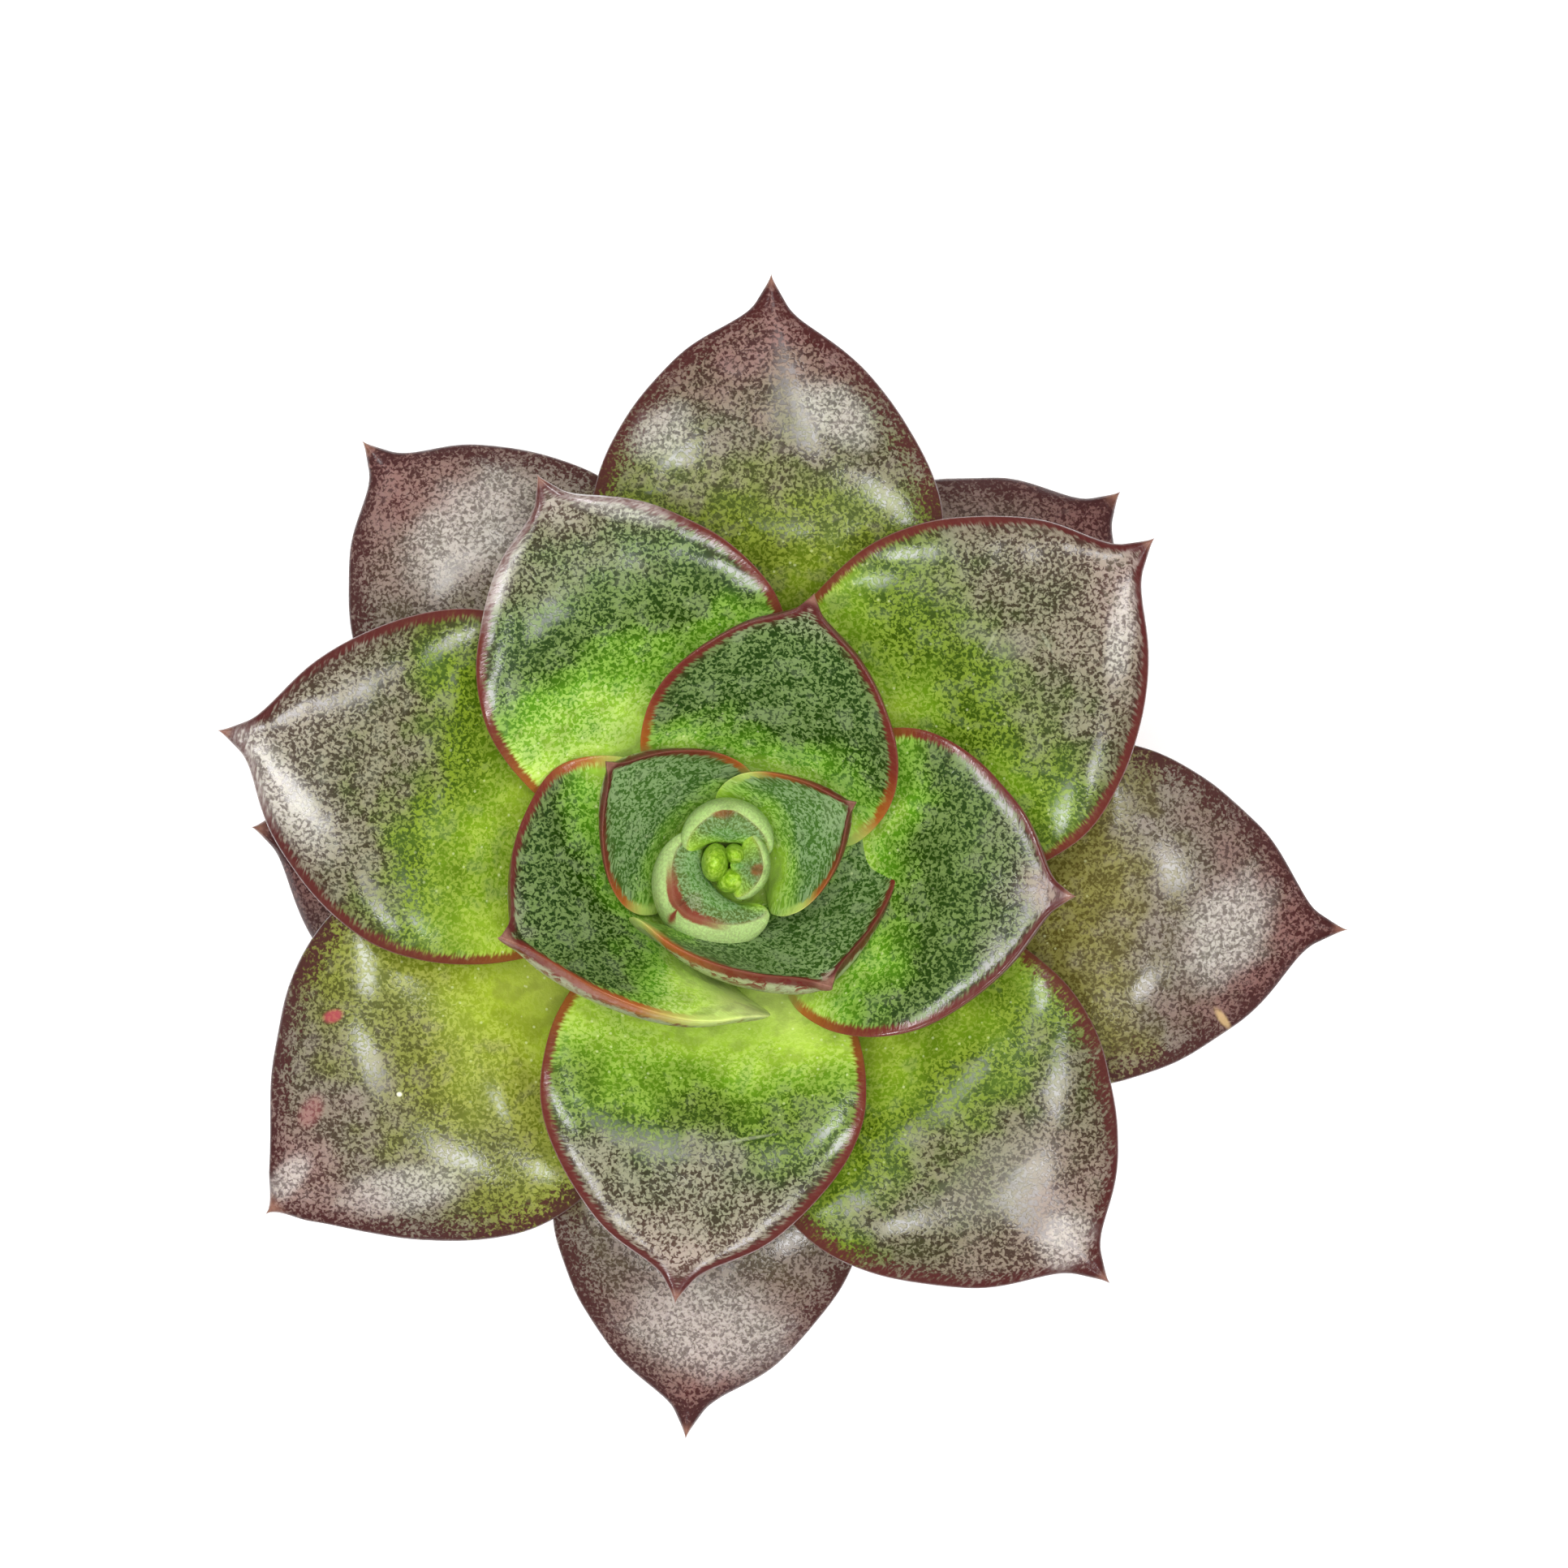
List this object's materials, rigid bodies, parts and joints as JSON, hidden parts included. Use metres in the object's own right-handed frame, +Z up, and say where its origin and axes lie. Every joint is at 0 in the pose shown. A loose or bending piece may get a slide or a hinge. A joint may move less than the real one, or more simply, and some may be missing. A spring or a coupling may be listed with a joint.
{
  "type": "potted echeveria",
  "caption": "Rosette succulent with thick, pointed, purple-edged leaves on a short stem, growing in soil in a plain round tapered pot.",
  "frame": {"origin": "centre of the pot's flat underside", "axes": "+Z up along the pot's and the stem's axis; +X to the right and +Y to the top of the rosette as it is seen from above"},
  "size_m": [0.1002, 0.1045, 0.0931],
  "materials": {
    "pot": "satin",
    "soil": "matte",
    "stem": "matte",
    "old_leaf": "satin",
    "middle_leaf": "satin",
    "young_leaf": "satin"
  },
  "bodies": {
    "root": {"pot": "pot", "soil": "soil", "stem": "stem", "leaf_01": "old_leaf", "leaf_02": "old_leaf", "leaf_03": "old_leaf", "leaf_04": "old_leaf", "leaf_05": "old_leaf", "leaf_06": "old_leaf", "leaf_07": "old_leaf", "leaf_08": "old_leaf", "leaf_09": "middle_leaf", "leaf_10": "middle_leaf", "leaf_11": "middle_leaf", "leaf_12": "middle_leaf", "leaf_13": "middle_leaf", "leaf_14": "middle_leaf", "leaf_15": "middle_leaf", "leaf_16": "young_leaf", "leaf_17": "young_leaf", "leaf_18": "young_leaf", "leaf_19": "young_leaf", "leaf_20": "young_leaf", "leaf_21": "young_leaf", "heart": "young_leaf"}
  },
  "joints": []
}
